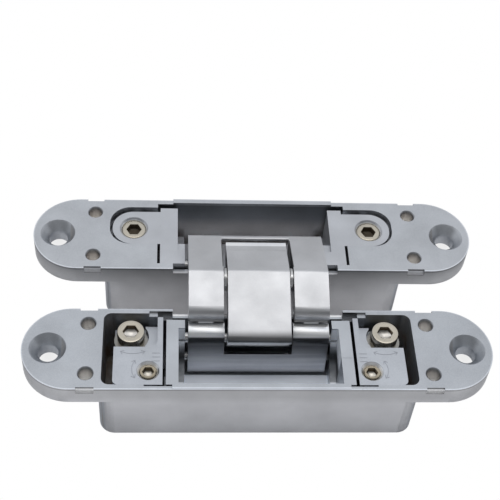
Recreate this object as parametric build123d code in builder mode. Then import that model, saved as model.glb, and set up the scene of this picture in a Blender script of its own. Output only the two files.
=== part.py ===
# Concealed door hinge, modelled open at 180 degrees
from math import atan2, cos, degrees, radians, sin, tan
import os

from build123d import *

os.makedirs("parts", exist_ok=True)

# The frame: X along the hinge, Y from the front body to the rear one, Z up.
# The origin is under the middle of the open hinge, at the height of both body bottoms.

# Plates and bodies
plate_length = 120.0
plate_width = 24.6
plate_thickness = 5.8
plate_gap = 13.5
plate_ear = 19.25
body_depth = 20.5
body_corner = 4.0
wall = 1.4
end_wall = 0.95
floor_thickness = 1.3
lip_height = 0.6
lip_drop = 2.0
lip_overlap = 3.2
wall_notch = 0.5
tooth_width = 2.2

# Fasteners through the plates
mount_edge = 6.55
mount_hole = 5.2
mount_mouth = 9.4
cap_hole_step = 9.8
cap_hole_y = 7.63
cap_hole = 3.5
cap_hole_mouth = 4.2
cap_hole_depth = 4.5
notch_length = 4.5
notch_depth = 0.6
notch_height = 2.0

# Fits
running_clearance = 0.05
press_clearance = 0.01
loose_clearance = 0.25
side_clearance = 0.3

# Axes of the linkage, from the middle of a plate's face: towards the other body, then up
arm_axis_in = 7.0
arm_axis_up = -5.0
link_axis_in = 6.2
link_axis_above_floor = 7.0
end_axis_in = 10.8
end_axis_up = 1.8
centre_axis_up = 4.0

# Pins
arm_pin_radius = 1.5
link_pin_radius = 1.25
centre_pin_radius = 2.0
end_pin_radius = 1.2
pin_seat = 3.5
centre_bush_radius = 2.9
centre_washer_radius = 3.2
centre_washer_thickness = 0.6

# Arms: one middle column, and two side columns with a web between them
column_side_gap = 0.85
column_share = 0.446
column_gap = 1.05
ridge_up = 7.9
ridge_slope = 19.4
ridge_radius = 1.0
nose_in = 1.3
nose_bottom = 0.1
nose_radius = 1.6
web_reach = 4.2
web_bottom = 1.1
web_radius = 0.45
arm_underside_up = -0.9
arm_knuckle_radius = 2.4
end_knuckle_radius = 3.1
neck_bevel = 0.7
finger_radius = 2.0
finger_bar_radius = 1.2
finger_share = 0.43
finger_swing = 18.0

# Guide links
link_face_in = 3.7
link_plate = 1.4
link_corner = 3.3
link_bend_up = -4.0
link_web_top = -7.3
link_web_step = -9.4
link_web_plate = 1.2
hook_underside = -3.0
finger_root_in = 8.4
finger_root_up = -1.6
bow_outer = 9.9
bow_inner = 7.7
bow_top = -2.0
bow_bottom_above_slot = 1.2
slot_travel = 2.3
slot_angle = 46.0
slot_rim = 0.6

# Cradles, the carriers of the linkage
front_cradle_share = 0.597
cradle_wall = 4.76
recess_depth = 1.65
recess_radius = 12.0
front_recess_middle = -5.5
rear_recess_end = 2.5
rear_notch_end = 5.8
rear_notch_depth = 1.2
front_cradle_top = -0.3
front_cradle_back = 9.1
rear_cradle_wider = 1.5
rear_cradle_top = -0.1
rear_cradle_back = 10.4
rear_recess_depth = 1.95
rear_cradle_front = -9.4
cradle_front_gap = 0.2
cradle_bottom_gap = 1.2
cradle_floor_in = 2.2
cradle_floor_thickness = 2.7
cradle_low_floor_thickness = 0.8

# Side adjustment: blocks that the large screws raise and lower
block_slot = 0.85
block_end_gap = 2.8
block_top = -0.4
block_bottom_gap = 1.7
block_back = 0.7
block_corner = 1.5
block_inner_corner = 2.0
block_arm = 1.4
block_arm_back = 10.0
block_arm_bottom = -8.0
shelf_top = -5.4
shelf_bottom = -7.6
step_top = -3.0
screw_share = 0.825
screw_in = 5.6
screw_top = -0.5
screw_head_radius = 3.5
screw_head_height = 4.0
screw_hex = 4.0
screw_radius = 2.0
screw_washer_radius = 4.3
screw_washer_thickness = 0.9
boss_radius = 4.0
boss_height = 10.0
side_travel_up = 1.5
side_travel_down = 0.5

# Depth adjustment: a rib of the cradle in a groove of each block, moved by an eccentric pin
rib_rim = 1.4
rib_top = -9.0
rib_bottom = -11.0
rib_front = -9.0
rib_back = -0.2
depth_travel = 1.0
cam_share = 0.7085
cam_in = -6.5
cam_radius = 2.0
cam_top = -0.9
cam_mouth_radius = 2.9
cam_hex = 2.5
cam_pin_radius = 0.9
cam_throw = 1.0
cam_angle = -30.0

# Height adjustment: ears of the rear cradle, clamped by two screws
ear_share = 0.962
ear_radius = 5.6
ear_front = 3.6
ear_back = -8.0
ear_thickness = 3.0
ear_end_gap = 0.75
ear_back_gap = 1.6
groove_depth = 1.7
height_travel = 0.6
ear_shift = -0.45
clamp_step = 5.8
clamp_in = -2.1
clamp_radius = 3.3
clamp_mouth_radius = 3.9
clamp_mouth_depth = 0.6
clamp_shank_radius = 1.9
clamp_hex = 4.0
clamp_head_height = 1.9
clamp_bottom = -11.0

# Worked out from the above
plate_y = (plate_width + plate_gap) / 2
face_z = body_depth
body_length = plate_length - 2 * plate_ear
pocket_half = plate_width / 2 - wall
pocket_end = body_length / 2 - end_wall
floor_up = floor_thickness - body_depth
mount_spacing = plate_length - 2 * mount_edge
cap_hole_x = mount_spacing / 2 - cap_hole_step
front_cradle_outer = pocket_end * front_cradle_share
rear_cradle_outer = front_cradle_outer + rear_cradle_wider
cradle_inner = front_cradle_outer - cradle_wall
cradle_bottom_up = floor_up + cradle_bottom_gap
cradle_low_floor_up = cradle_bottom_up + cradle_low_floor_thickness
cradle_floor_up = cradle_bottom_up + cradle_floor_thickness
lip_half_length = cradle_inner + lip_overlap
column_outer = cradle_inner - column_side_gap
column_inner = column_outer * column_share
column_side = column_inner + column_gap
finger_width = (column_outer - column_side) * finger_share
middle_finger_width = column_inner
link_axis_up = floor_up + link_axis_above_floor
block_inner = front_cradle_outer + block_slot
block_outer = pocket_end - block_end_gap
block_bottom = floor_up + block_bottom_gap
boss_top = floor_up + boss_height
screw_x = pocket_end * screw_share
cam_x = pocket_end * cam_share
rib_outer = cam_x + cam_throw + rib_rim
ear_end = pocket_end * ear_share
clamp_x = ear_end - clamp_step
slope = tan(radians(ridge_slope))
pin_half = cradle_inner + pin_seat
through = plate_length
slot_radius = link_pin_radius + loose_clearance
foot_middle_in = link_axis_in - slot_travel * cos(radians(slot_angle))
foot_middle_up = link_axis_up - slot_travel * sin(radians(slot_angle))
foot_face_in = foot_middle_in - slot_radius - slot_rim
link_lean = (link_face_in - foot_face_in) / (link_bend_up - foot_middle_up)
web_face_in = link_face_in - link_lean * (link_bend_up - link_web_top)


def at(inward, up):
    """A point of the front body in the YZ plane, measured from the middle of its plate's face."""
    return (inward - plate_y, face_z + up)


arm_axis = at(arm_axis_in, arm_axis_up)
link_axis = at(link_axis_in, link_axis_up)
end_axis = at(end_axis_in, end_axis_up)
far_end_axis = (-end_axis[0], end_axis[1])
centre_axis = (0, face_z + centre_axis_up)
finger_angle = degrees(atan2(end_axis_up - finger_root_up, end_axis_in - finger_root_in))


def rod(centre, radius, start, end):
    """A round bar along X, its axis through a point of the YZ plane."""
    bar = Cylinder(radius, end - start, rotation=(0, 90, 0), mode=Mode.PRIVATE)
    return Pos((start + end) / 2, centre[0], centre[1]) * bar


def block(x, inward, up):
    """A box given by its two ends along X, inward and up, in the front body's measures."""
    shape = Box(x[1] - x[0], inward[1] - inward[0], up[1] - up[0], mode=Mode.PRIVATE)
    place = ((x[0] + x[1]) / 2, (inward[0] + inward[1]) / 2 - plate_y, face_z + (up[0] + up[1]) / 2)
    return Pos(*place) * shape


def upright(x, inward, radius, bottom, top):
    """A round bar along Z in the front body's measures."""
    bar = Cylinder(radius, top - bottom, mode=Mode.PRIVATE)
    return Pos(x, inward - plate_y, face_z + (bottom + top) / 2) * bar


def housing_shell():
    """The plate with its round ends and its holes, and the deep box under it."""
    with BuildPart() as shell:
        with BuildSketch(Plane.XY.offset(face_z - plate_thickness)):
            with Locations((0, -plate_y)):
                SlotOverall(plate_length, plate_width)
        extrude(amount=plate_thickness)
        with BuildSketch(Plane.XY):
            with Locations((0, -plate_y)):
                RectangleRounded(body_length, plate_width, body_corner)
        extrude(amount=body_depth)
        add(block((-lip_half_length, lip_half_length), (-plate_width / 2, -pocket_half), (-1, lip_height)))
        with Locations((0, -plate_y, face_z)):
            with GridLocations(mount_spacing, 1, 2, 1):
                CounterSinkHole(mount_hole / 2, mount_mouth / 2)
            with GridLocations(2 * cap_hole_x, 2 * cap_hole_y, 2, 2):
                CounterSinkHole(cap_hole / 2, cap_hole_mouth / 2, cap_hole_depth)
            with GridLocations(2 * cap_hole_x, plate_width, 2, 2):
                Box(notch_length, 2 * notch_depth, 2 * notch_height, mode=Mode.SUBTRACT)
    return shell.part


def lower_the_lip():
    """The wall towards the other body, cut down where the arms cross it."""
    reach = (pocket_half - 1, plate_width / 2 + 1)
    return block((-lip_half_length, lip_half_length), reach, (-lip_drop, lip_height + 1))


# Front housing: a deep pocket with a threaded boss for each large screw
with BuildPart() as front_housing:
    add(housing_shell())
    with BuildSketch(Plane.XY.offset(floor_thickness)):
        with Locations((0, -plate_y)):
            RectangleRounded(2 * pocket_end, 2 * pocket_half, 2.0)
    extrude(amount=body_depth, mode=Mode.SUBTRACT)
    add(lower_the_lip(), mode=Mode.SUBTRACT)
    for side in (-1, 1):
        wide = sorted((side * lip_half_length, side * (lip_half_length + 6)))
        add(block(wide, (pocket_half - 1, pocket_half + wall / 2), (-3, 1)), mode=Mode.SUBTRACT)
        wide = sorted((side * lip_half_length, side * (lip_half_length + 7)))
        add(block(wide, (-pocket_half - wall_notch, 1 - pocket_half), (-3, 1)), mode=Mode.SUBTRACT)
        tooth = sorted((side * (block_inner + block_arm), side * (block_inner + block_arm + tooth_width)))
        add(block(tooth, (block_arm_back + side_clearance, pocket_half + wall / 2), (-6, -0.6)))
        add(upright(side * screw_x, screw_in, boss_radius, floor_up - 0.5, boss_top))
        hole = screw_radius + running_clearance
        add(upright(side * screw_x, screw_in, hole, floor_up + 0.5, boss_top + 1), mode=Mode.SUBTRACT)
front_housing.part.label = "front_housing"
export_step(front_housing.part, "parts/front_housing.step")


def ears(end, front, back, bottom, top):
    """A plate with round ends, as wide as both ears of the rear cradle."""
    with BuildSketch(Plane.XY.offset(face_z + bottom)) as outline:
        with Locations((ear_shift, (front + back) / 2 - plate_y)):
            RectangleRounded(2 * end, front - back, ear_radius)
    return extrude(outline.sketch, amount=top - bottom, mode=Mode.PRIVATE)


# Rear housing: a pocket for the cradle, a close seat for its ears and a groove behind them
with BuildPart() as rear_housing:
    add(housing_shell())
    pocket = rear_cradle_outer + height_travel + side_clearance / 2
    pocket_ends = (ear_shift - pocket, ear_shift + pocket)
    add(block(pocket_ends, (-pocket_half, pocket_half), (floor_up, 1)), mode=Mode.SUBTRACT)
    wall_face = rear_cradle_back + running_clearance
    for ends in ((pocket_ends[0] - 1, -lip_half_length), (lip_half_length, pocket_ends[1] + 1)):
        add(block(ends, (wall_face, pocket_half + 1), (floor_up - 0.5, 0)))
    add(lower_the_lip(), mode=Mode.SUBTRACT)
    seat_end = ear_end + ear_end_gap
    seat_front = ear_front + running_clearance
    seat_bottom = rear_cradle_top - ear_thickness - loose_clearance
    add(ears(seat_end, seat_front, ear_back - side_clearance, seat_bottom, 1), mode=Mode.SUBTRACT)
    add(ears(seat_end, seat_front, ear_back - ear_back_gap, -groove_depth, 1), mode=Mode.SUBTRACT)
    for side in (-1, 1):
        hole = clamp_shank_radius + running_clearance + height_travel
        clamp = upright(side * clamp_x + ear_shift, clamp_in, hole, clamp_bottom - 1, 0)
        add(clamp, mode=Mode.SUBTRACT)
    mirror(about=Plane.XZ, mode=Mode.REPLACE)
rear_housing.part.label = "rear_housing"
export_step(rear_housing.part, "parts/rear_housing.step")


def hollow_cradle(front, back):
    """What a cradle leaves free between its end walls, with the seats of the two fixed pins."""
    inside = (-cradle_inner, cradle_inner)
    with BuildPart() as room:
        add(block(inside, (front - 1, back + 1), (cradle_floor_up, 1)))
        add(block(inside, (cradle_floor_in, back + 1), (cradle_low_floor_up, 1)))
        add(rod(arm_axis, arm_pin_radius + press_clearance, -pin_half, pin_half))
        add(rod(link_axis, link_pin_radius + press_clearance, -pin_half, pin_half))
    return room.part


# Front cradle: slides in depth, its ribs in the grooves of the blocks
front_edge = -pocket_half + cradle_front_gap
with BuildPart() as front_cradle:
    ends = (-front_cradle_outer, front_cradle_outer)
    add(block(ends, (front_edge, front_cradle_back), (cradle_bottom_up, front_cradle_top)))
    add(hollow_cradle(front_edge, front_cradle_back), mode=Mode.SUBTRACT)
    recess = cradle_inner + recess_depth
    add(rod(at(front_recess_middle, 0), recess_radius, -recess, recess), mode=Mode.SUBTRACT)
    for side in (-1, 1):
        reach = sorted((side * (front_cradle_outer - 1), side * rib_outer))
        add(block(reach, (rib_front, rib_back), (rib_bottom, rib_top)))
        pin_in = cam_in + cam_throw * sin(radians(cam_angle))
        pin_x = cam_x + cam_throw * cos(radians(cam_angle)) / 2
        with BuildSketch(Plane.XY.offset(face_z + rib_bottom - 1)):
            with Locations((side * pin_x, pin_in - plate_y)):
                SlotOverall(2 * cam_pin_radius + 2.2 * cam_throw, 2 * (cam_pin_radius + running_clearance))
        extrude(amount=rib_top - rib_bottom + 2, mode=Mode.SUBTRACT)
front_cradle.part.label = "front_cradle"
export_step(front_cradle.part, "parts/front_cradle.step")

# Rear cradle: one piece with its ears, slides along the hinge
with BuildPart() as rear_cradle:
    ends = (ear_shift - rear_cradle_outer, ear_shift + rear_cradle_outer)
    add(block(ends, (rear_cradle_front, rear_cradle_back), (cradle_bottom_up, rear_cradle_top)))
    add(ears(ear_end, ear_front, ear_back, rear_cradle_top - ear_thickness, rear_cradle_top))
    add(hollow_cradle(rear_cradle_front, rear_cradle_back), mode=Mode.SUBTRACT)
    recess = (-cradle_inner - rear_recess_depth, cradle_inner + rear_recess_depth)
    deep = (rear_cradle_front - 1, rear_recess_end)
    add(block(recess, deep, (link_axis_up, 1)), mode=Mode.SUBTRACT)
    shallow = (rear_recess_end - 1, rear_notch_end)
    add(block(recess, shallow, (rear_cradle_top - rear_notch_depth, 1)), mode=Mode.SUBTRACT)
    for side in (-1, 1):
        clamp_place = side * clamp_x + ear_shift
        seat = clamp_radius + running_clearance
        seat_bottom = rear_cradle_top - clamp_mouth_depth - clamp_head_height
        add(upright(clamp_place, clamp_in, seat, seat_bottom, 1), mode=Mode.SUBTRACT)
        with Locations((clamp_place, clamp_in - plate_y, face_z + rear_cradle_top - clamp_mouth_depth / 2)):
            Cone(seat, clamp_mouth_radius, clamp_mouth_depth, mode=Mode.SUBTRACT)
        hole = clamp_shank_radius + running_clearance
        add(upright(clamp_place, clamp_in, hole, clamp_bottom, 1), mode=Mode.SUBTRACT)
    mirror(about=Plane.XZ, mode=Mode.REPLACE)
rear_cradle.part.label = "rear_cradle"
export_step(rear_cradle.part, "parts/rear_cradle.step")


def adjusting_block(side):
    """Carries one side of the cradle and hangs on the large screw."""
    with BuildPart() as body:
        with BuildSketch(Plane.XY.offset(face_z + block_bottom)) as plan:
            with Locations(((block_inner + block_outer) / 2, (front_edge + block_back) / 2 - plate_y)):
                Rectangle(block_outer - block_inner, block_back - front_edge)
            fillet(plan.vertices().sort_by(Axis.X)[-2:].sort_by(Axis.Y)[0], block_corner)
        extrude(amount=block_top - block_bottom)
        with BuildSketch(Plane.XY.offset(face_z + shelf_bottom)):
            with Locations((block_inner + block_arm, block_back - plate_y)):
                Rectangle(block_inner_corner, block_inner_corner, align=(Align.MIN, Align.MIN))
                with Locations((block_inner_corner, block_inner_corner)):
                    Circle(block_inner_corner, mode=Mode.SUBTRACT)
        extrude(amount=block_top - shelf_bottom)
        arm = (block_inner, block_inner + block_arm)
        add(block(arm, (block_back - 1, block_arm_back), (block_arm_bottom, block_top)))
        shelf = (block_inner, block_outer)
        add(block(shelf, (block_back - 1, block_arm_back - 0.6), (shelf_bottom, shelf_top)))
        step = (block_inner, screw_x - screw_washer_radius * 0.86)
        add(block(step, (block_back - 1, block_arm_back - 1.2), (shelf_bottom, step_top)))
        washer = screw_washer_radius + side_clearance
        add(upright(screw_x, screw_in, washer, shelf_top, 1), mode=Mode.SUBTRACT)
        hole = screw_radius + running_clearance
        add(upright(screw_x, screw_in, hole, shelf_bottom - 1, 1), mode=Mode.SUBTRACT)
        groove = (block_inner - 1, rib_outer + side_clearance)
        height = (rib_bottom - 0.1, rib_top + 0.1)
        add(block(groove, (front_edge - 1, rib_back + depth_travel + 1), height), mode=Mode.SUBTRACT)
        bore = cam_radius + running_clearance
        add(upright(cam_x, cam_in, bore, rib_top - 0.5, 1), mode=Mode.SUBTRACT)
        with Locations((cam_x, cam_in - plate_y, face_z + block_top - 0.5)):
            Cone(bore, cam_mouth_radius, 1.0, mode=Mode.SUBTRACT)
        if side < 0:
            mirror(about=Plane.YZ, mode=Mode.REPLACE)
    return body.part


def socket_screw(x, inward, head, height, top, shank, bottom, hexagon):
    """A round head with a hexagon socket, and a plain shank with the thread's outer size."""
    with BuildPart() as screw:
        add(upright(x, inward, head, top - height, top))
        add(upright(x, inward, shank, bottom, top - height + 0.5))
        with BuildSketch(Plane.XY.offset(face_z + top)):
            with Locations((x, inward - plate_y)):
                RegularPolygon(hexagon / 2, 6, major_radius=False)
        extrude(amount=-height * 0.6, mode=Mode.SUBTRACT)
    return screw.part


def depth_cam(side):
    """A short screw with a socket above and an eccentric pin below."""
    with BuildPart() as cam:
        add(upright(side * cam_x, cam_in, cam_radius, rib_top + 0.2, cam_top))
        pin_x = side * (cam_x + cam_throw * cos(radians(cam_angle)))
        pin_in = cam_in + cam_throw * sin(radians(cam_angle))
        add(upright(pin_x, pin_in, cam_pin_radius, rib_bottom + 0.2, rib_top + 0.7))
        with BuildSketch(Plane.XY.offset(face_z + cam_top)):
            with Locations((side * cam_x, cam_in - plate_y)):
                RegularPolygon(cam_hex / 2, 6, major_radius=False)
        extrude(amount=-2.4, mode=Mode.SUBTRACT)
    return cam.part


# Adjusting blocks, screws, washers and cams, one of each on both sides
for side, name in ((-1, "left"), (1, "right")):
    with BuildPart() as front_block:
        add(adjusting_block(side))
    front_block.part.label = f"front_block_{name}"
    export_step(front_block.part, f"parts/front_block_{name}.step")

    with BuildPart() as side_adjust_screw:
        add(socket_screw(side * screw_x, screw_in, screw_head_radius, screw_head_height, screw_top,
                         screw_radius, floor_up + side_travel_down + block_bottom_gap / 2, screw_hex))
    side_adjust_screw.part.label = f"side_adjust_screw_{name}"
    export_step(side_adjust_screw.part, f"parts/side_adjust_screw_{name}.step")

    with BuildPart() as side_adjust_washer:
        add(upright(side * screw_x, screw_in, screw_washer_radius, shelf_top, shelf_top + screw_washer_thickness))
        hole = screw_radius + running_clearance
        add(upright(side * screw_x, screw_in, hole, shelf_top - 1, 0), mode=Mode.SUBTRACT)
    side_adjust_washer.part.label = f"side_adjust_washer_{name}"
    export_step(side_adjust_washer.part, f"parts/side_adjust_washer_{name}.step")

    with BuildPart() as cam:
        add(depth_cam(side))
    cam.part.label = f"depth_cam_{name}"
    export_step(cam.part, f"parts/depth_cam_{name}.step")

    with BuildPart() as clamp_screw:
        add(socket_screw(side * clamp_x + ear_shift, clamp_in, clamp_radius, clamp_head_height,
                         rear_cradle_top - clamp_mouth_depth, clamp_shank_radius, clamp_bottom, clamp_hex))
        mirror(about=Plane.XZ, mode=Mode.REPLACE)
    clamp_screw.part.label = f"rear_clamp_screw_{name}"
    export_step(clamp_screw.part, f"parts/rear_clamp_screw_{name}.step")


def slope_up(inward):
    """The height of an arm's slope above the plate's face."""
    return ridge_up - slope * (plate_y - inward)


def arm_outline(x):
    """The bent arm seen from the side: nose, ridge, end knuckle, underside and arm knuckle."""
    tilt = radians(ridge_slope)
    end_top = (
        far_end_axis[0] + end_knuckle_radius * sin(tilt),
        far_end_axis[1] + end_knuckle_radius * cos(tilt),
    )
    near = arm_axis_in - arm_knuckle_radius
    far = arm_axis_in + arm_knuckle_radius
    with BuildSketch(Plane.YZ.offset(x)) as outline:
        with BuildLine():
            Polyline(
                at(nose_in, nose_bottom),
                at(nose_in, slope_up(nose_in)),
                (0, face_z + ridge_up),
                end_top,
                far_end_axis,
                (far_end_axis[0], face_z + arm_underside_up),
                at(far + neck_bevel, arm_underside_up),
                at(far, arm_underside_up - neck_bevel),
                at(far, arm_axis_up),
                at(near, arm_axis_up),
                at(near, arm_axis_up + 1.6),
                at(near - 0.6, -1.9),
                at(nose_in + 1.3, nose_bottom - 0.8),
                close=True,
            )
        make_face()
        fillet(outline.vertices().sort_by(Axis.Y)[-1], ridge_radius)
        fillet(outline.vertices().sort_by(Axis.X)[:2].sort_by(Axis.Y)[-1], nose_radius)
        with Locations(arm_axis):
            Circle(arm_knuckle_radius)
        with Locations(far_end_axis):
            Circle(end_knuckle_radius)
    return outline.sketch


def fork(x, width):
    """The room for a link's finger in an arm: round the end axis, and along the finger's swing."""
    with BuildSketch(Plane.YZ.offset(x - width / 2 - side_clearance)) as room:
        with Locations(far_end_axis):
            Circle(finger_radius + side_clearance)
        for swing in (0, finger_swing / 2, finger_swing):
            reach = 3 * end_knuckle_radius
            turn = -finger_angle - swing
            middle = (
                far_end_axis[0] + reach / 2 * cos(radians(turn)),
                far_end_axis[1] + reach / 2 * sin(radians(turn)),
            )
            with Locations(middle):
                SlotCenterToCenter(reach, 2 * (finger_bar_radius + side_clearance), rotation=turn)
    return extrude(room.sketch, amount=width + 2 * side_clearance, mode=Mode.PRIVATE)


# Front arm: the middle column, from the front cradle to the far end axis
with BuildPart() as front_arm:
    extrude(arm_outline(-column_inner), amount=2 * column_inner)
    add(fork(0, middle_finger_width), mode=Mode.SUBTRACT)
    add(rod(arm_axis, arm_pin_radius + running_clearance, -through, through), mode=Mode.SUBTRACT)
    add(rod(centre_axis, centre_bush_radius + press_clearance, -through, through), mode=Mode.SUBTRACT)
    add(rod(far_end_axis, end_pin_radius + press_clearance, -through, through), mode=Mode.SUBTRACT)
front_arm.part.label = "front_arm"
export_step(front_arm.part, "parts/front_arm.step")

# Rear arm: two side columns joined by a web at the nose
finger_middle = (column_side + column_outer) / 2
with BuildPart() as rear_arm:
    extrude(arm_outline(column_side), amount=column_outer - column_side)
    add(fork(finger_middle, finger_width), mode=Mode.SUBTRACT)
    mirror(about=Plane.YZ)
    with BuildSketch(Plane.YZ.offset(-column_side - 1)) as web:
        with BuildLine():
            Polyline(
                at(nose_in + 0.2, web_bottom),
                at(nose_in + 0.6, slope_up(nose_in) + 0.1),
                at(nose_in + 1.1, slope_up(nose_in + 1.1)),
                at(web_reach, slope_up(web_reach)),
                at(web_reach - 0.8, web_bottom + 0.35),
                close=True,
            )
        make_face()
        fillet(web.vertices().sort_by(Axis.X)[-2:].sort_by(Axis.Y)[-1], web_radius)
    extrude(amount=2 * column_side + 2)
    add(rod(arm_axis, arm_pin_radius + running_clearance, -through, through), mode=Mode.SUBTRACT)
    add(rod(centre_axis, centre_pin_radius + press_clearance, -through, through), mode=Mode.SUBTRACT)
    add(rod(far_end_axis, end_pin_radius + press_clearance, -through, through), mode=Mode.SUBTRACT)
    mirror(about=Plane.XZ, mode=Mode.REPLACE)
rear_arm.part.label = "rear_arm"
export_step(rear_arm.part, "parts/rear_arm.step")

# The slot at a link's foot starts at the fixed pin and runs down and away from it
link_foot = at(foot_middle_in, foot_middle_up)
slot_middle = ((link_axis[0] + link_foot[0]) / 2, (link_axis[1] + link_foot[1]) / 2)


def foot(x, radius):
    """The round-ended shape of a link's foot or of its slot."""
    with BuildSketch(Plane.YZ.offset(x)) as shape:
        with Locations(slot_middle):
            SlotCenterToCenter(slot_travel, 2 * radius, rotation=slot_angle)
    return shape.sketch


def finger(x):
    """The round-ended bar of a link that enters the fork of an arm."""
    root = at(finger_root_in, finger_root_up)
    middle = ((end_axis[0] + root[0]) / 2, (end_axis[1] + root[1]) / 2)
    length = ((end_axis[0] - root[0]) ** 2 + (end_axis[1] - root[1]) ** 2) ** 0.5
    with BuildSketch(Plane.YZ.offset(x)) as shape:
        with Locations(middle):
            SlotCenterToCenter(length, 2 * finger_bar_radius, rotation=finger_angle)
        with Locations(end_axis):
            Circle(finger_radius)
    return shape.sketch


# Front guide link: a hooked plate, open in the middle for the front arm
link_side = column_side - side_clearance
knuckle_room = end_knuckle_radius + side_clearance
with BuildPart() as front_guide_link:
    with BuildSketch(Plane.YZ.offset(link_side)) as hook:
        inner = link_face_in + link_plate
        with BuildLine():
            Polyline(
                at(link_face_in, 0),
                at(end_axis_in, 0),
                at(arm_axis_in + 1.4, hook_underside),
                at(inner + 0.8, hook_underside),
                at(inner, hook_underside - 1.4),
                at(inner, link_axis_up),
                at(foot_face_in, foot_middle_up),
                at(link_face_in, link_bend_up),
                close=True,
            )
        make_face()
        fillet(hook.vertices().sort_by(Axis.Y)[-2:].sort_by(Axis.X)[0], link_corner)
        with Locations(end_axis):
            Circle(knuckle_room, mode=Mode.SUBTRACT)
    extrude(amount=column_outer - link_side)
    extrude(foot(link_side, slot_radius + slot_rim), amount=column_outer - link_side)
    extrude(finger(finger_middle - finger_width / 2), amount=finger_width)
    mirror(about=Plane.YZ)
    with BuildSketch(Plane.YZ.offset(-link_side - 1)):
        with BuildLine():
            Polyline(
                at(foot_face_in, foot_middle_up),
                at(web_face_in, link_web_top),
                at(web_face_in + link_web_plate / 2, link_web_top - 0.8),
                at(link_face_in + link_web_plate, link_web_step),
                at(link_face_in + link_web_plate, foot_middle_up),
                close=True,
            )
        make_face()
        with Locations(link_foot):
            Circle(slot_radius + slot_rim)
            Circle(slot_radius, mode=Mode.SUBTRACT)
    extrude(amount=2 * link_side + 2)
    extrude(foot(-through, slot_radius), amount=2 * through, mode=Mode.SUBTRACT)
    add(rod(end_axis, end_pin_radius + running_clearance, -through, through), mode=Mode.SUBTRACT)
front_guide_link.part.label = "front_guide_link"
export_step(front_guide_link.part, "parts/front_guide_link.step")

# Rear guide link: a bowed bar in the middle column
link_half = column_inner - 0.2
with BuildPart() as rear_guide_link:
    with BuildSketch(Plane.YZ.offset(-link_half)) as bow:
        with BuildLine():
            Polyline(
                at(bow_outer, bow_top),
                at(bow_inner + 0.5, bow_top - 0.4),
                at(bow_inner, bow_top - 3),
                at(bow_inner, link_axis_up + 3.7),
                at(link_axis_in, link_axis_up + 2.2),
                at(link_axis_in, link_axis_up),
                at(bow_outer - 0.5, link_axis_up + bow_bottom_above_slot),
                at(bow_outer, link_axis_up + 2 * bow_bottom_above_slot + 1),
                close=True,
            )
        make_face()
        with Locations(end_axis):
            Circle(knuckle_room, mode=Mode.SUBTRACT)
    extrude(amount=2 * link_half)
    extrude(foot(-link_half, slot_radius + slot_rim), amount=2 * link_half)
    extrude(finger(-middle_finger_width / 2), amount=middle_finger_width)
    extrude(foot(-through, slot_radius), amount=2 * through, mode=Mode.SUBTRACT)
    add(rod(end_axis, end_pin_radius + running_clearance, -through, through), mode=Mode.SUBTRACT)
    mirror(about=Plane.XZ, mode=Mode.REPLACE)
rear_guide_link.part.label = "rear_guide_link"
export_step(rear_guide_link.part, "parts/rear_guide_link.step")

# Pins, bush and washers, each a plain turned piece along X
turned = {
    "front_arm_pin": (arm_axis, arm_pin_radius, -pin_half, pin_half),
    "front_link_pin": (link_axis, link_pin_radius, -pin_half, pin_half),
    "rear_link_pin": ((-link_axis[0], link_axis[1]), link_pin_radius, -pin_half, pin_half),
    "rear_arm_pin_left": ((-arm_axis[0], arm_axis[1]), arm_pin_radius, -pin_half, -column_side - 0.2),
    "rear_arm_pin_right": ((-arm_axis[0], arm_axis[1]), arm_pin_radius, column_side + 0.2, pin_half),
    "centre_pin": (centre_axis, centre_pin_radius, -column_outer + 0.2, column_outer - 0.2),
    "front_arm_end_pin": (far_end_axis, end_pin_radius, -column_inner + 0.1, column_inner - 0.1),
    "rear_arm_end_pin_left": (end_axis, end_pin_radius, -column_outer + 0.1, -column_side - 0.1),
    "rear_arm_end_pin_right": (end_axis, end_pin_radius, column_side + 0.1, column_outer - 0.1),
}
for name, (axis, radius, start, end) in turned.items():
    with BuildPart() as pin:
        add(rod(axis, radius, start, end))
    pin.part.label = name
    export_step(pin.part, f"parts/{name}.step")

with BuildPart() as centre_bush:
    add(rod(centre_axis, centre_bush_radius, -column_inner, column_inner))
    add(rod(centre_axis, centre_pin_radius + running_clearance, -through, through), mode=Mode.SUBTRACT)
centre_bush.part.label = "centre_bush"
export_step(centre_bush.part, "parts/centre_bush.step")

for side, name in ((-1, "left"), (1, "right")):
    with BuildPart() as centre_washer:
        middle = side * (column_inner + column_side) / 2
        half = centre_washer_thickness / 2
        add(rod(centre_axis, centre_washer_radius, middle - half, middle + half))
        add(rod(centre_axis, centre_pin_radius + press_clearance, -through, through), mode=Mode.SUBTRACT)
    centre_washer.part.label = f"centre_washer_{name}"
    export_step(centre_washer.part, f"parts/centre_washer_{name}.step")
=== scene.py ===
import math

import bmesh
import bpy
from mathutils import Matrix, Vector


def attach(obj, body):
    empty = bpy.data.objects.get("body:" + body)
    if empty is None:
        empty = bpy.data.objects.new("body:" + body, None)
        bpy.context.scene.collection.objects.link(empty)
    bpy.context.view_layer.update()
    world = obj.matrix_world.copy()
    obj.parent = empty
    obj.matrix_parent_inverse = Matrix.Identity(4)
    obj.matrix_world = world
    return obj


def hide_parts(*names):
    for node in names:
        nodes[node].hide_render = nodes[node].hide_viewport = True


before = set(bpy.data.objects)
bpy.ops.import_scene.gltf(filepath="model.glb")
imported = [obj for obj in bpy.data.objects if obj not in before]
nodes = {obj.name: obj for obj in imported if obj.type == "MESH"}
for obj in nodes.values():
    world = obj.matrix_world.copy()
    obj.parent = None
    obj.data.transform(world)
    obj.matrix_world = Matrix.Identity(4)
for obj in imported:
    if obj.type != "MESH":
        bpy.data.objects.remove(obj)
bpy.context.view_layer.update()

MM = 0.001

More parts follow.
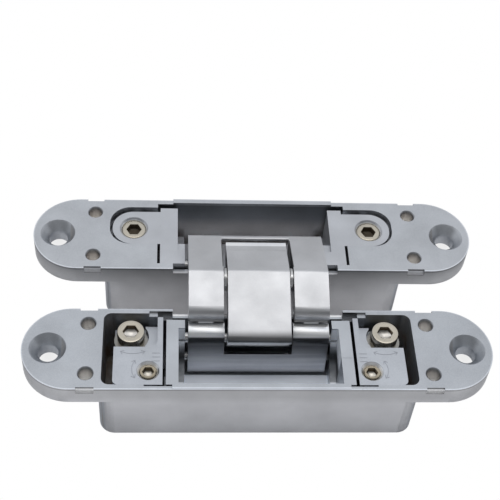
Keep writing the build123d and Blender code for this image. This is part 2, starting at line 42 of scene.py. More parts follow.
# Places that the looks and the detailed pieces share, in millimetres
body_middle = 19.05
plate_end_centre = 47.7
edge_near_middle = 6.75
edge_outside = 31.35
just_under_top = 20.2
side_screws = {"left": (-32.835, -13.45), "right": (32.835, -13.45)}
depth_cams = {"left": (-28.1983, -25.55), "right": (28.1983, -25.55)}
cam_pins = {"left": (-29.0643, -26.05), "right": (29.0643, -26.05)}
clamp_screws = {"left": (-32.9376, 21.15), "right": (32.0376, 21.15)}


# Camera, fitted to the photo
camera_data = bpy.data.cameras.new("camera")
camera_data.lens = 82.58
camera_data.sensor_width = 36.0
camera_data.clip_start = 0.01
camera_data.clip_end = 10.0
camera = bpy.data.objects.new("camera", camera_data)
bpy.context.scene.collection.objects.link(camera)
camera_place = (-23.7 * MM, -186.25 * MM, 259.0 * MM)
yaw, pitch, roll = math.radians(6.39), math.radians(49.87), math.radians(5.50)
forward = Vector((
    math.sin(yaw) * math.cos(pitch), math.cos(yaw) * math.cos(pitch), -math.sin(pitch)
))
level_right = Vector((math.cos(yaw), -math.sin(yaw), 0))
level_up = level_right.cross(forward)
right = math.cos(roll) * level_right + math.sin(roll) * level_up
up = -math.sin(roll) * level_right + math.cos(roll) * level_up
camera.matrix_world = Matrix((
    (right.x, up.x, -forward.x, camera_place[0]),
    (right.y, up.y, -forward.y, camera_place[1]),
    (right.z, up.z, -forward.z, camera_place[2]),
    (0, 0, 0, 1),
))
bpy.context.scene.camera = camera
bpy.context.scene.view_settings.view_transform = "Standard"


# Short ways to build node trees
def as_colour(level):
    """A grey is given as one number."""
    return level if isinstance(level, tuple) else (level, level, level)


class NodeTree:
    """The nodes of a world or a material."""

    def __init__(self, owner):
        owner.use_nodes = True
        self.nodes = owner.node_tree.nodes
        self.links = owner.node_tree.links
        self.nodes.clear()

    def put(self, value, socket):
        """Links an output to a socket, or sets the socket to a plain value."""
        if isinstance(value, bpy.types.NodeSocket):
            self.links.new(value, socket)
        elif isinstance(value, tuple) and len(value) < len(socket.default_value):
            socket.default_value = (*value, 1)
        else:
            socket.default_value = value

    def add(self, kind, inputs=None):
        """A new node with its inputs, which go by name or number."""
        node = self.nodes.new(kind)
        for key, value in (inputs or {}).items():
            self.put(value, node.inputs[key])
        return node

    def calculate(self, operation, *values):
        node = self.add("ShaderNodeMath", dict(enumerate(values)))
        node.operation = operation
        return node.outputs[0]

    def vector_length(self, operation, *vectors):
        node = self.add("ShaderNodeVectorMath", dict(enumerate(vectors)))
        node.operation = operation
        return node.outputs["Value"]

    def product(self, first, *others):
        for other in others:
            first = self.calculate("MULTIPLY", first, other)
        return first

    def remap(self, value, low, high, to_low=0.0, to_high=1.0):
        """Turns one range of a value into another and holds it beyond both ends."""
        ends = {"From Min": low, "From Max": high, "To Min": to_low, "To Max": to_high}
        return self.add("ShaderNodeMapRange", {"Value": value, **ends}).outputs["Result"]

    def ramp(self, value, stops):
        """A grey or a colour by the value, stops being (place, level)."""
        node = self.add("ShaderNodeValToRGB", {"Fac": value})
        elements = node.color_ramp.elements
        while len(elements) < len(stops):
            elements.new(0.5)
        for element, (place, level) in zip(elements, stops):
            element.position = place
            element.color = (*as_colour(level), 1)
        return node.outputs["Color"]

    def mix(self, share, first, second, mode="MIX"):
        node = self.nodes.new("ShaderNodeMix")
        node.data_type = "RGBA"
        node.blend_type = mode
        sockets = {socket.name: socket for socket in node.inputs if socket.enabled}
        for name, value in (("Factor", share), ("A", first), ("B", second)):
            self.put(value, sockets[name])
        return [socket for socket in node.outputs if socket.enabled][0]


# Light: a soft sky that is darker in front, and one long lamp overhead
studio = bpy.data.worlds.new("studio")
bpy.context.scene.world = studio
sky = NodeTree(studio)
looked_in = sky.add("ShaderNodeTexCoord").outputs["Generated"]
direction = sky.add("ShaderNodeSeparateXYZ", {0: looked_in})


def by_direction(axis, stops):
    """A colour that changes along one axis of the direction, from -1 to 1."""
    share = sky.remap(direction.outputs[axis], -1.0, 1.0)
    return sky.ramp(share, [((place + 1) / 2, level) for place, level in stops])


by_height = by_direction("Z", [
    (-1.0, 0.50), (0.0, (0.45, 0.455, 0.47)), (0.20, (0.50, 0.51, 0.53)),
    (0.62, (0.70, 0.72, 0.75)), (0.80, (0.76, 0.78, 0.81)), (1.0, (0.92, 0.92, 0.93)),
])
by_depth = by_direction("Y", [(-1.0, 0.60), (-0.70, 0.30), (-0.34, 0.30), (-0.10, 1.0), (1.0, 1.0)])
sky_light = sky.add(
    "ShaderNodeBackground", {"Color": sky.mix(1.0, by_height, by_depth, "MULTIPLY")}
)
sky.add("ShaderNodeOutputWorld", {0: sky_light.outputs[0]})

lamp_data = bpy.data.lights.new("overhead", "AREA")
lamp_data.shape = "RECTANGLE"
lamp_data.size, lamp_data.size_y = 0.50, 0.16
lamp_data.energy = 0.24
lamp = bpy.data.objects.new("overhead", lamp_data)
bpy.context.scene.collection.objects.link(lamp)
lamp_place = Vector((0.0, 0.02, 0.60))
lamp.location = lamp_place
lamp.rotation_mode = "QUATERNION"
lamp.rotation_quaternion = (Vector((0, 0, 0)) - lamp_place).to_track_quat("-Z", "Y")


# Floor, plain and white behind the object
floor_reach = 0.9
floor_drop = 0.0002
floor_corners = [(-1, -1), (1, -1), (1, 1), (-1, 1)]
floor_mesh = bpy.data.meshes.new("floor")
floor_mesh.from_pydata(
    [(x * floor_reach, y * floor_reach, 0) for x, y in floor_corners], [], [(0, 1, 2, 3)]
)
floor = bpy.data.objects.new("floor", floor_mesh)
floor.location.z = -floor_drop
bpy.context.scene.collection.objects.link(floor)
floor_material = bpy.data.materials.new("floor_white")
floor_mesh.materials.append(floor_material)
paint = NodeTree(floor_material)
floor_place = paint.add("ShaderNodeNewGeometry").outputs["Position"]

# What it throws on the object: matt white with a glow that is stronger in front
floor_depth = paint.add("ShaderNodeSeparateXYZ", {0: floor_place}).outputs["Y"]
glow_strength = paint.remap(floor_depth, -0.06, -0.03, 0.32, 0.12)
matt = paint.add("ShaderNodeBsdfDiffuse", {"Color": (0.80, 0.80, 0.81)})
glow = paint.add("ShaderNodeEmission", {"Color": (1.0, 1.0, 1.02), "Strength": glow_strength})
thrown = paint.add("ShaderNodeAddShader", {0: matt.outputs[0], 1: glow.outputs[0]})

# What the camera sees: white, but for the plates' shade under the screw holes
shade_spots = ((-55.5, -7.3), (58.9, -7.3), (-55.5, 33.5), (58.9, 33.5))
shade_core, shade_rim, shade_level = 0.001, 0.0055, 0.83
shade = 1.0
for x, y in shade_spots:
    away = paint.vector_length("DISTANCE", floor_place, (x * MM, y * MM, floor.location.z))
    spot = paint.remap(away, shade_core, shade_rim, shade_level, 1.0)
    shade = paint.calculate("MINIMUM", shade, spot)
white = paint.add("ShaderNodeEmission", {"Strength": shade})
seen = paint.add("ShaderNodeLightPath").outputs["Is Camera Ray"]
floor_light = paint.add(
    "ShaderNodeMixShader", {0: seen, 1: thrown.outputs[0], 2: white.outputs[0]}
)
paint.add("ShaderNodeOutputMaterial", {0: floor_light.outputs[0]})


# Metals, each shaded by place in the object's own coordinates, in millimetres
class Metal(NodeTree):
    """The nodes of one metal."""

    def __init__(self, name, metallic):
        self.material = bpy.data.materials.new(name)
        super().__init__(self.material)
        self.metallic = metallic
        self.shader = self.add("ShaderNodeBsdfPrincipled")
        self.add("ShaderNodeOutputMaterial", {0: self.shader.outputs[0]})
        self.coord = self.add("ShaderNodeTexCoord").outputs["Object"]

    def scaled(self, scale):
        return self.add("ShaderNodeMapping", {"Vector": self.coord, "Scale": scale}).outputs[0]

    def noise(self, scale, detail, stretch=None):
        where = self.scaled(stretch) if stretch else self.coord
        inputs = {"Vector": where, "Scale": scale, "Detail": detail}
        return self.add("ShaderNodeTexNoise", inputs).outputs["Fac"]

    def spots(self, scale, size):
        cells = self.add("ShaderNodeTexVoronoi", {"Vector": self.coord, "Scale": scale})
        return self.ramp(cells.outputs["Distance"], [(0.0, 1.0), (size, 0.0)])

    def bump(self, value, distance, strength, below=None):
        inputs = {"Distance": distance, "Strength": strength, "Height": value}
        if below:
            inputs["Normal"] = below
        return self.add("ShaderNodeBump", inputs).outputs[0]

    def axis(self, name):
        return self.add("ShaderNodeSeparateXYZ", {0: self.coord}).outputs[name]

    def off_middle(self, name, middle=0.0):
        """The distance along an axis from a place on both of its sides."""
        distance = self.calculate("ABSOLUTE", self.axis(name))
        if middle:
            distance = self.calculate("ABSOLUTE", self.calculate("SUBTRACT", distance, middle * MM))
        return distance

    def off_plate_line(self):
        """The distance from a plate's middle line, across it or round its ends."""
        past = self.calculate("SUBTRACT", self.off_middle("X"), plate_end_centre * MM)
        past = self.calculate("MAXIMUM", past, 0.0)
        both = self.add("ShaderNodeCombineXYZ", {0: past, 1: self.off_middle("Y", body_middle)})
        return self.vector_length("LENGTH", both.outputs[0])

    def above(self, value, limit, soft):
        """One above a limit, with a soft start that ends there."""
        return self.remap(value, (limit - soft) * MM, limit * MM)

    def below(self, value, limit, soft):
        """One below a limit, with a soft end that starts there."""
        return self.remap(value, limit * MM, (limit + soft) * MM, 1.0, 0.0)

    def band(self, name, low=None, high=None, soft=0.3):
        """One where a coordinate lies between two places."""
        value = self.axis(name)
        if high is None:
            return self.above(value, low, soft)
        if low is None:
            return self.below(value, high, soft)
        return self.product(self.above(value, low, soft), self.below(value, high, soft))

    def near(self, centre, radius):
        """One within a distance of an upright axis."""
        flat = self.scaled((1, 1, 0))
        away = self.vector_length("DISTANCE", flat, (centre[0] * MM, centre[1] * MM, 0))
        return self.below(away, radius, 0.3)

    def inside_pocket(self):
        """One between a body's side walls and end walls, above its bottom."""
        return self.product(
            self.below(self.off_middle("Y", body_middle), 10.95, 0.05),
            self.below(self.off_middle("X"), 39.83, 0.05),
            self.band("Z", low=1.2),
        )

    def graded(self, tone, name, stops, inside=1.0):
        """Multiplies a tone by a gain that changes along an axis, stops being (place, gain)."""
        first, last = stops[0][0], stops[-1][0]
        share = self.remap(self.axis(name), first * MM, last * MM)
        halves = [
            ((place - first) / (last - first), tuple(part / 2 for part in as_colour(gain)))
            for place, gain in stops
        ]
        doubled = self.add("ShaderNodeVectorMath", {0: self.ramp(share, halves)})
        doubled.operation = "SCALE"
        doubled.inputs["Scale"].default_value = 2.0
        return self.mix(inside, tone, doubled.outputs[0], "MULTIPLY")

    def greased_and_shaded(self, tone, colour, bottom, top, from_middle):
        """Grease with painted shade, both thickening downwards in a pocket, beyond a distance from
        the middle.
        """
        deep = self.remap(self.axis("Z"), bottom * MM, top * MM, 1.0, 0.0)
        smear = self.ramp(self.noise(210.0, 5.0), [(0.38, 0.30), (0.62, 1.0)])
        along = self.above(self.off_middle("X"), from_middle + 1, 1)
        cover = self.product(deep, smear, self.inside_pocket(), along)
        self.metallic = self.remap(cover, 0.0, 1.0, 1.0, 0.35)
        return self.mix(cover, tone, colour)


def satin_metal(name, colour, rough, grain=1.0, brushed=None, specks=0.5, metallic=1.0,
                shading=None):
    """Satin plated metal: soft patches, fine grain, rare pits, and the shading of its piece."""
    t = Metal(name, metallic)
    patches = t.ramp(t.noise(95.0, 4.0), [(0.32, 0.0), (0.68, 1.0)])
    dark = tuple(part * 0.90 for part in colour)
    light = tuple(min(1.0, part * 1.05) for part in colour)
    tone = t.mix(patches, dark, light)
    fine = t.ramp(t.noise(5200.0, 2.0), [(0.30, 0.0), (0.70, 1.0)])
    tone = t.mix(0.10, tone, fine, "OVERLAY")
    if brushed:
        lines = t.ramp(t.noise(900.0, 3.0, brushed), [(0.30, 0.0), (0.70, 1.0)])
        tone = t.mix(0.16, tone, lines, "OVERLAY")
    rare = t.ramp(t.noise(260.0, 1.0), [(0.52, 0.0), (0.62, 1.0)])
    pits = t.product(t.spots(520.0, 0.10), rare, specks)
    tone = t.mix(pits, tone, tuple(part * 0.35 for part in colour))
    if shading:
        tone = shading(t, tone)
    t.put(tone, t.shader.inputs["Base Color"])
    t.put(t.metallic, t.shader.inputs["Metallic"])
    polish = t.ramp(t.noise(160.0, 4.0), [(0.25, rough - 0.05), (0.75, rough + 0.06)])
    t.put(polish, t.shader.inputs["Roughness"])
    normal = t.bump(t.noise(3600.0, 2.0), 0.00002 * grain, 0.5)
    normal = t.bump(t.noise(300.0, 3.0), 0.00012 * grain, 0.35, normal)
    t.put(normal, t.shader.inputs["Normal"])
    return t.material


# Shading of the castings
def box_walls(t):
    """The outer walls of a body, up to its plate's top."""
    return t.product(t.above(t.off_plate_line(), 11.6, 0.2), t.band("Z", high=just_under_top))


def plate_details(t, tone, near_edge, far_edge):
    """Painted light in the small holes and notches, a painted shade line under the plate's edge and
    a painted highlight along it.
    """
    hole = t.product(
        t.below(t.off_middle("Y", body_middle), 10.0, 0.3),
        t.above(t.off_middle("X"), 41.5, 0.3),
        t.below(t.off_middle("X"), 50.0, 0.3),
        t.band("Z", high=just_under_top),
    )
    # Painted light in the small holes, brighter lower down, darker at the top
    tone = t.graded(tone, "Z", [
        (10, (2.0, 1.9, 1.75)), (15, (1.9, 1.8, 1.65)), (18.5, (1.4, 1.3, 1.2)), (20.5, 0.50),
    ], hole)
    off_line = t.off_plate_line()
    notch = t.product(
        t.above(off_line, 11.7, 0.2), t.below(off_line, 12.0, 0.1), t.band("Z", 18.3, 20.36, 0.1)
    )
    # Painted light in the notches, with painted shade at their top
    tone = t.graded(tone, "Z", [(18.3, 2.0), (19.75, 2.2), (19.95, 0.40), (20.5, 0.30)], notch)
    # Painted shade: a dark line under the plate's edge
    under_edge = t.product(t.above(off_line, 12.2, 0.1), t.band("Z", 19.85, 20.22, 0.1))
    tone = t.graded(tone, "Z", [(19, 0.62), (21, 0.62)], under_edge)
    # Painted highlight along the plate's edge, strongest at its near side
    edge = t.product(t.above(off_line, 12.06, 0.08), t.band("Z", low=20.3, soft=0.05))
    middle = (near_edge + far_edge) / 2
    return t.graded(tone, "Y", [(near_edge, 1.45), (middle, 1.32), (far_edge, 1.15)], edge)


def front_body_shade(t, tone):
    """Painted warm light on the box, shade under the plate; brown grease, darker downwards as
    painted shade.
    """
    # Painted warm light on the box walls, darker near the plate's top as painted shade
    tone = t.graded(tone, "Z", [
        (0, (1.24, 1.20, 1.16)), (14, (1.24, 1.19, 1.15)), (17, (1.03, 0.99, 0.95)),
        (20.4, (0.98, 0.94, 0.90)),
    ], box_walls(t))
    tone = plate_details(t, tone, -edge_outside, -edge_near_middle)
    # Brown grease at the pocket's ends, painted darker downwards as shade
    return t.greased_and_shaded(tone, (0.27, 0.205, 0.15), bottom=12.0, top=19.5, from_middle=36.5)


def rear_body_shade(t, tone):
    """The bay's back wall is lit low down, the box is shaded under the plate."""
    back_wall = t.product(t.band("Y", 29.4, 30.3), t.inside_pocket(), t.band("Z", high=20.0))
    tone = t.graded(tone, "Z", [
        (5, (1.62, 1.50, 1.40)), (9, (1.70, 1.58, 1.48)), (12, (1.40, 1.31, 1.24)),
        (15, (0.84, 0.84, 0.85)), (18, (0.62, 0.63, 0.65)), (21, 0.55),
    ], back_wall)
    tone = t.graded(tone, "Z", [
        (0, (1.30, 1.25, 1.21)), (10, (1.18, 1.14, 1.10)), (16, (0.94, 0.91, 0.88)),
        (19, (0.70, 0.68, 0.66)), (20.2, (0.56, 0.55, 0.54)),
    ], box_walls(t))
    tone = plate_details(t, tone, edge_near_middle, edge_outside)
    # Near-black painted shade near the top of the pocket, in a smeared pattern, beyond the middle
    return t.greased_and_shaded(tone, (0.03, 0.03, 0.036), bottom=18.8, top=20.4, from_middle=26.0)


def cradle_shade(t, tone):
    """A floor painted pale and dull with light towards the front, sides painted near black as
    shade, and recesses painted from shade to a highlight.
    """
    floor_part = t.band("Z", high=5.5)
    # Painted light: the floor is pale bluish and dull, brighter towards the front
    tone = t.mix(floor_part, tone, (0.90, 0.94, 1.0))
    tone = t.graded(
        tone, "Y", [(-21, 1.35), (-18.5, 1.30), (-16.5, 0.95), (-15.0, 0.60)], floor_part
    )
    # Painted shade: the sides facing the blocks are near black
    side = t.product(t.above(t.off_middle("X"), 24.3, 0.3), t.band("Z", high=19.8, soft=0.15))
    tone = t.graded(tone, "Z", [(0, 0.08), (30, 0.08)], side)
    # Painted shade low in the recesses, turning to a painted highlight higher up
    recess = t.product(
        t.above(t.off_middle("X"), 18.9, 0.1), t.band("Y", -21.5, -12.6),
        t.band("Z", 8.9, 19.85, 0.1),
    )
    tone = t.graded(tone, "Z", [
        (9.0, 0.42), (10.8, 0.44), (11.3, 0.24), (12.0, 0.09), (12.8, 0.15), (13.5, 0.40),
        (14.2, 0.85), (14.8, 1.40), (15.5, 1.72), (20.0, 1.72),
    ], recess)
    # The painted floor and highlight are made dull
    bright_part = t.product(recess, t.band("Z", low=14.6))
    t.metallic = t.product(
        t.remap(floor_part, 0.0, 1.0, 1.0, 0.0), t.remap(bright_part, 0.0, 1.0, 1.0, 0.1)
    )
    return tone


def block_shade(t, tone):
    """Painted light on the rims of the cams' holes, brighter towards the back, and painted
    near-black shade on the side towards the cradle.
    """
    for centre in depth_cams.values():
        # Painted light on each rim, brighter towards the back
        rim = t.product(t.near(centre, 4.2), t.band("Z", 17.0, 19.98, 0.05))
        tone = t.graded(tone, "Y", [(-29, 1.1), (-25, 1.9), (-21, 2.0)], rim)
    # Painted shade: near black on the side towards the cradle
    side = t.product(t.below(t.off_middle("X"), 25.7, 0.2), t.band("Z", high=19.8, soft=0.15))
    return t.graded(tone, "Z", [(0, 0.08), (30, 0.08)], side)


def ear_shade(t, tone):
    """Painted shade at the front of the clamp screws' seats and painted light at their back."""
    for centre in clamp_screws.values():
        seat = t.product(t.near(centre, 4.7), t.band("Z", 17.0, 19.9, 0.15))
        # Painted shade at the seat's front, painted light at its back
        tone = t.graded(tone, "Y", [(15.0, 0.60), (19.0, 0.80), (22.0, 1.60), (27.0, 1.70)], seat)
    return tone


# Shading of the linkage
def link_shade(t, tone):
    """A painted highlight on the rounded top, and painted shade on the face below it that grows
    lighter downwards.
    """
    return t.graded(tone, "Z", [
        (5.8, 0.6), (8, 0.98), (9.3, 0.92), (11, 0.70), (13.2, 0.46), (15.5, 0.26),
        (17.5, 0.17), (19.00, 0.16), (19.32, 1.80), (20.1, 1.95), (20.6, 1.85),
    ])


def front_arm_shade(t, tone):
    """Painted shade on the nose before its edge, a painted highlight on the rear lip."""
    return t.graded(tone, "Y", [
        (-17.2, 0.30), (-16.6, 0.34), (-16.3, 0.46), (-16.0, 0.62), (-15.5, 0.86), (-15.0, 1.0),
        (11.9, 1.0), (12.05, 1.38), (13.3, 1.38),
    ], t.band("Z", low=21.4, soft=0.25))


def rear_arm_shade(t, tone):
    """A painted reflection of a dark and a light band on the side columns' front ends, painted
    shade in their slits.
    """
    # Painted reflection of a dark and a light band on the front ends
    tone = t.graded(tone, "Z", [
        (21.0, 0.36), (22.1, 0.40), (22.4, 0.62), (22.9, 1.10), (23.2, 1.36), (23.5, 1.34),
        (23.8, 1.0), (24.1, 0.76), (24.4, 0.70), (24.8, 0.95), (25.2, 1.0),
    ], t.band("Y", -20.0, -9.2))
    # Painted shade in the slits
    slits = t.product(t.band("X", -9.3, 9.3, 0.05), t.band("Y", 2.0, 14.5))
    return t.graded(tone, "X", [(-9.35, 0.12), (9.35, 0.12)], slits)


def lit_in_front(y):
    """The shading of a socket's bottom, bright in its front half only."""
    def shade_bottom(t, tone):
        return t.graded(tone, "Y", [
            (y - 3, 1.07), (y + 0.7, 1.07), (y + 1.1, 0.50), (y + 1.5, 0.25), (y + 3, 0.2),
        ])
    return shade_bottom


# Materials
front_casting = satin_metal("front_casting", (0.56, 0.585, 0.62), 0.42, shading=front_body_shade)
rear_casting = satin_metal("rear_casting", (0.59, 0.61, 0.64), 0.42, shading=rear_body_shade)
cradle = satin_metal("satin_cradle", (0.58, 0.605, 0.64), 0.40, shading=cradle_shade)
ears = satin_metal("satin_ear", (0.60, 0.615, 0.645), 0.40, shading=ear_shade)
blocks = satin_metal("satin_block", (0.58, 0.605, 0.645), 0.42, shading=block_shade)
column_tone = (0.72, 0.725, 0.74)
front_column = satin_metal("front_column", column_tone, 0.40, grain=0.6, specks=0.15,
                           shading=front_arm_shade)
rear_columns = satin_metal("rear_columns", column_tone, 0.40, grain=0.6, specks=0.15,
                           shading=rear_arm_shade)
links_metal = satin_metal("satin_link", (0.55, 0.56, 0.59), 0.36, brushed=(0.05, 1, 1),
                          shading=link_shade)
nickel = satin_metal("nickel", (0.62, 0.57, 0.48), 0.24, grain=0.6, specks=0.3)
steel = satin_metal("ground_steel", (0.60, 0.60, 0.60), 0.22, grain=0.4, brushed=(0.1, 1, 1),
                    specks=0.2)
bronze = satin_metal("bush_bronze", (0.55, 0.42, 0.24), 0.38)
# Painted light: the sockets' bottoms are pale, lit in their front half only
socket_bottom = satin_metal("socket_bottom", (0.93, 0.89, 0.83), 0.40, grain=2.5, specks=0.8,
                            shading=lit_in_front(side_screws["left"][1]))
cam_bottom = satin_metal("cam_bottom", (0.93, 0.88, 0.78), 0.40, grain=2.5, specks=0.8,
                         shading=lit_in_front(depth_cams["left"][1]))
# Painted shade: the sockets' walls are dark brown
socket_wall = satin_metal("socket_wall", (0.20, 0.165, 0.12), 0.35, grain=1.5, specks=0.6)
# Painted shade: the clamp screws' sockets are dark brown throughout
socket_dark = satin_metal("socket_painted_shade", (0.11, 0.085, 0.055), 0.50, grain=1.5, specks=0.6,
                          metallic=0.3)
gold = satin_metal("gold_plate", (0.47, 0.41, 0.31), 0.26, grain=0.8, specks=0.6)
# Painted shade: the washers are a darker, greyer nickel under the screw heads
washer_metal = satin_metal("washer_shaded_nickel", (0.36, 0.35, 0.325), 0.30, grain=0.6)
mark_metal = satin_metal("mark_metal", (0.53, 0.55, 0.59), 0.42, specks=0.2)

finish_of = {
    "front_housing": front_casting, "rear_housing": rear_casting, "front_cradle": cradle,
    "rear_cradle": ears, "front_block_left": blocks, "front_block_right": blocks,
    "front_arm": front_column, "rear_arm": rear_columns, "front_guide_link": links_metal,
    "rear_guide_link": links_metal, "centre_bush": bronze,
    "side_adjust_washer_left": washer_metal, "side_adjust_washer_right": washer_metal,
}
for name, node in nodes.items():
    ground = "pin" in name or name.startswith("centre_washer")
    node.data.materials.clear()
    node.data.materials.append(finish_of.get(name, steel if ground else nickel))


# Cast edges are slightly rounded
def soften(width, *names):
    for name in names:
        node = nodes[name]
        weld = node.modifiers.new("weld", "WELD")
        weld.merge_threshold = 0.000002
        bevel = node.modifiers.new("bevel", "BEVEL")
        bevel.width = width * MM
        bevel.segments = 2
        bevel.limit_method = "ANGLE"
        bevel.angle_limit = math.radians(32)
        bevel.harden_normals = True
        bevel.use_clamp_overlap = True


soften(0.18, "front_housing", "rear_housing", "front_cradle", "front_block_left",
       "front_block_right")
soften(0.10, "rear_cradle")
soften(0.15, "front_arm", "rear_arm", "front_guide_link", "rear_guide_link")


# Pieces in more detail
def skin(shape, loops, materials=None):
    """Joins closed loops of points, one after the other, into a surface with both ends closed."""
    rings = [[shape.verts.new(point) for point in loop] for loop in loops]
    materials = materials or [0] * len(loops)
    for step, (first, second) in enumerate(zip(rings, rings[1:])):
        for i in range(len(first)):
            j = (i + 1) % len(first)
            face = shape.faces.new((first[i], first[j], second[j], second[i]))
            face.material_index = materials[step]
    shape.faces.new(list(reversed(rings[0])))
    shape.faces.new(rings[-1]).material_index = materials[-1]


def make_piece(name, shape, body, materials, replaces=None):
    """Turns a shape into a named piece that rides on a body."""
    sharp = math.radians(35)
    bmesh.ops.recalc_face_normals(shape, faces=shape.faces)
    for face in shape.faces:
        face.smooth = True
    for edge in shape.edges:
        edge.smooth = len(edge.link_faces) < 2 or edge.calc_face_angle(0) < sharp
    mesh = bpy.data.meshes.new(name)
    shape.to_mesh(mesh)
    shape.free()
    for material in materials:
        mesh.materials.append(material)
    piece = bpy.data.objects.new(name, mesh)
    bpy.context.scene.collection.objects.link(piece)
    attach(piece, body)
    if replaces:
        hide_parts(replaces)


points_around = 72
thread_pitch = 0.7


def ring(centre, z, radius):
    """A loop round an upright axis, its radius a number or a function of the angle."""
    points = []
    for i in range(points_around):
        angle = 2 * math.pi * i / points_around
        r = radius(angle) if callable(radius) else radius
        x, y = centre[0] + r * math.cos(angle), centre[1] + r * math.sin(angle)
        points.append((x * MM, y * MM, z * MM))
    return points


def turned(centre, outline):
    """Loops from an outline of (height, radius)."""
    return [ring(centre, z, radius) for z, radius in outline]


def hexagon(flats, scale=1.0):
    """The radius of a hexagon's outline, by angle."""
    def radius(angle):
        return scale * flats / 2 / math.cos(angle % (math.pi / 3) - math.pi / 6)
    return radius


def thread(radius, depth, z):
    """The radius of a screw thread at one height, by angle."""
    def at_angle(angle):
        turn = 2 * math.pi * z / thread_pitch - angle
        return radius - depth * (0.5 + 0.5 * math.cos(turn))
    return at_angle


def shank(centre, radius, low, high):
    """The loops of a threaded shank, from its chamfered tip upwards."""
    start, step, depth = 0.5, thread_pitch / 5, 0.45 * thread_pitch
    loops = turned(centre, [(low, radius - 0.5), (low + 0.35, radius - 0.25)])
    for k in range(int((high - low - 0.9) / step) + 1):
        z = low + start + k * thread_pitch / 5
        loops.append(ring(centre, z, thread(radius, depth, z)))
    return loops


def socket(centre, top, mouth, flats, depth, dish):
    """The loops of a hexagon socket, from its slightly wider mouth down to a dished bottom."""
    bottom = top - depth
    return turned(centre, [
        (top, hexagon(flats, mouth)), (top - 0.05, hexagon(flats, (1 + 2 * mouth) / 3)),
        (top - 0.14, hexagon(flats)), (bottom + 0.1, hexagon(flats)),
        (bottom, hexagon(flats, 0.93)), (bottom - dish * 0.6, 0.55 * flats / 2),
        (bottom - dish, 0.12),
    ])


def make_screw(node, body, outside, hollow, materials):
    """A screw in detail; its materials are the plating, the socket's walls and its bottom."""
    shape = bmesh.new()
    plated = [0] * (len(outside) + 1)
    walls = [1] * 2
    bottom = [len(materials) - 1] * (len(hollow) - 3)
    skin(shape, outside + hollow, plated + walls + bottom)
    make_piece(f"{node}_detail", shape, body, materials, node)


# Large screws of the side adjustment
for name, centre in side_screws.items():
    head = turned(centre, [
        (15.7, 1.95), (16.0, 2.0), (16.0, 3.2), (16.2, 3.5),
        (19.72, 3.5), (19.93, 3.38), (20.0, 3.2), (20.0, 2.75),
    ])
    make_screw(f"side_adjust_screw_{name}", f"side_screw_{name}",
               shank(centre, 2.0, 2.65, 15.6) + head,
               socket(centre, 19.94, mouth=1.06, flats=3.5, depth=1.5, dish=0.5),
               [nickel, socket_wall, socket_bottom])

# Clamp screws of the height adjustment
for name, centre in clamp_screws.items():
    head = turned(centre, [
        (17.7, 1.85), (17.9, 1.9), (17.9, 3.1), (18.05, 3.3),
        (19.35, 3.3), (19.6, 3.18), (19.74, 2.95), (19.8, 2.7),
    ])
    make_screw(f"rear_clamp_screw_{name}", f"clamp_{name}",
               shank(centre, 1.9, 9.5, 17.6) + head,
               socket(centre, 19.8, mouth=1.06, flats=3.5, depth=1.9, dish=0.2),
               [nickel, socket_dark])

# Depth cams, each with an eccentric pin below
for name, centre in depth_cams.items():
    cam_radius = 2.0
    heights = [12.2 + k * thread_pitch / 5 for k in range(46)]
    outside = turned(cam_pins[name], [(9.7, 0.75), (9.85, 0.9), (11.7, 0.9)])
    outside += turned(centre, [(11.7, 1.9), (11.85, cam_radius)])
    outside += turned(centre, [(z, thread(cam_radius, 0.25, z)) for z in heights])
    outside += turned(centre, [(19.0, cam_radius), (19.45, cam_radius), (19.6, 1.82)])
    make_screw(f"depth_cam_{name}", f"cam_{name}", outside,
               socket(centre, 19.6, mouth=1.08, flats=2.5, depth=1.6, dish=0.35),
               [gold, socket_wall, cam_bottom])

# Rear end of the middle column, drawn out to a lip
# Its lip takes the painted highlight of the column's rear end, from front_arm_shade
tail_section = [
    (9.3, 25.20), (9.9, 24.96), (11.9, 24.10), (12.05, 24.06), (13.0, 24.14), (13.14, 24.08),
    (13.14, 23.94), (12.2, 23.6), (11.2, 23.3), (10.6, 23.8), (9.7, 24.6),
]
tail_half, tail_rim = 8.1, 8.0
shape = bmesh.new()
skin(shape, [
    [(x * MM, y * MM, z * MM) for y, z in tail_section]
    for x in (-tail_half, -tail_rim, tail_rim, tail_half)
])
make_piece("front_arm_tail", shape, "front_arm_body", [front_column])


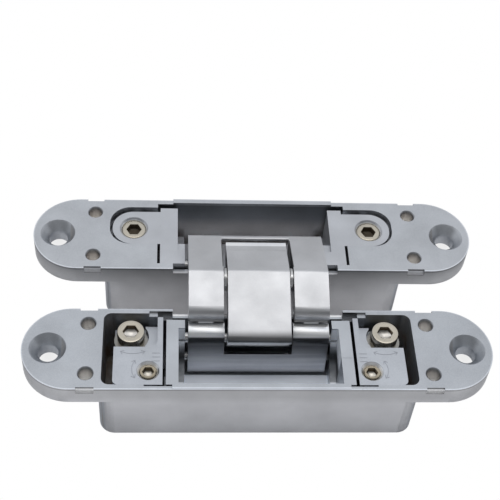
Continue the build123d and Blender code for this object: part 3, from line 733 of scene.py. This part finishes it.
# Marks on the adjusting blocks, cast a little proud
def stroke(shape, points, width, z, rise=0.07):
    """A raised line with sloping sides along a path of points."""
    foot = z - 0.02
    section = [
        (-width / 2, foot), (-width / 5, z + rise), (width / 5, z + rise), (width / 2, foot)
    ]
    loops = []
    for i, (x, y) in enumerate(points):
        before = points[max(i - 1, 0)]
        after = points[min(i + 1, len(points) - 1)]
        dx, dy = after[0] - before[0], after[1] - before[1]
        length = math.hypot(dx, dy)
        nx, ny = -dy / length, dx / length
        loops.append([((x + nx * w) * MM, (y + ny * w) * MM, h * MM) for w, h in section])
    skin(shape, loops)


def arc(centre, radius, middle, half):
    """Points along an arc, its middle and half its length given in degrees."""
    angles = [math.radians(middle - half + 2 * half * k / 16) for k in range(17)]
    return [(centre[0] + radius * math.cos(a), centre[1] + radius * math.sin(a)) for a in angles]


def double_arrow(shape, points, z):
    """A line with an open arrowhead at both ends."""
    width, head_length, head_turn = 0.22, 1.0, 0.65
    stroke(shape, points, width, z)
    for tip, inner in ((points[0], points[2]), (points[-1], points[-3])):
        back = math.atan2(inner[1] - tip[1], inner[0] - tip[0])
        for turn in (-head_turn, head_turn):
            x = tip[0] + head_length * math.cos(back + turn)
            y = tip[1] + head_length * math.sin(back + turn)
            stroke(shape, [tip, (x, y)], width, z)


block_top = 20.1
scale_line_width = 0.24
for side, name in ((-1, "left"), (1, "right")):
    shape = bmesh.new()
    double_arrow(shape, arc((side * 32.2, -13.45), 7.0, -90, 26), block_top)
    double_arrow(shape, arc((side * 27.9, -25.05), 4.4, 90 - 90 * side, 36), block_top)
    for inward in (-1.2, -2.4, -3.6):
        y = inward - body_middle
        stroke(shape, [(side * 25.3, y), (side * 27.3, y)], scale_line_width, block_top)
    make_piece(f"block_marks_{name}", shape, "front_carriage", [mark_metal])

cradle_top = 20.2
pointer_width = 0.18
shape = bmesh.new()
stroke(shape, [(20.9, -21.6), (23.4, -21.6)], pointer_width, cradle_top, rise=0.05)
make_piece("cradle_pointer", shape, "front_carrier", [mark_metal])
